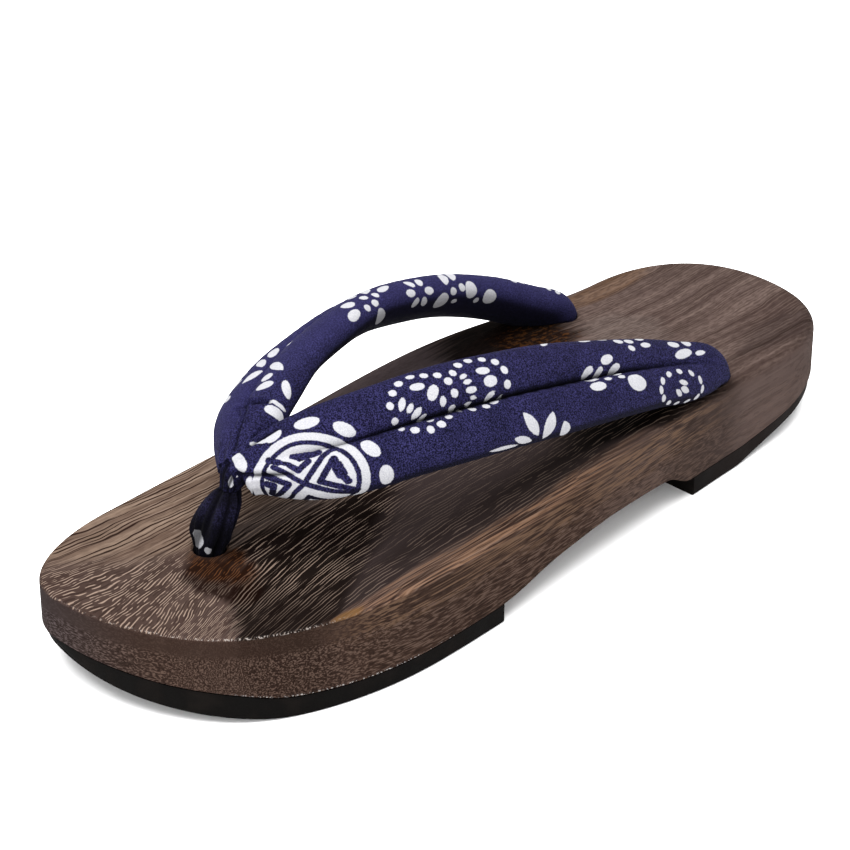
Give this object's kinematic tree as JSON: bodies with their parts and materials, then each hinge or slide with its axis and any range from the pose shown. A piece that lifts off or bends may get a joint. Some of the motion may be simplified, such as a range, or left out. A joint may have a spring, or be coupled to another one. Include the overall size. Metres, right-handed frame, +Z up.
{
  "type": "wooden zori sandal",
  "caption": "Flat wooden sandal for the left foot: arched sole with toe spring on rubber pads, padded cloth V-strap with a furrow and a gathered toe thong.",
  "frame": {"origin": "on the floor under the middle of the sole's length and width", "axes": "+Y from heel to toe, +X to the wearer's right, +Z up"},
  "size_m": [0.0932, 0.272, 0.0713],
  "materials": {
    "charred_wood": "dark charred open grain under satin lacquer",
    "pad_rubber": "matte black",
    "strap_cloth": "indigo cotton with a white resist print",
    "thong_cloth": "gathered indigo cotton"
  },
  "bodies": {
    "root": {"wood_sole": "charred_wood", "front_pad": "pad_rubber", "heel_pad": "pad_rubber", "strap": "strap_cloth", "toe_thong": "thong_cloth"}
  },
  "joints": []
}
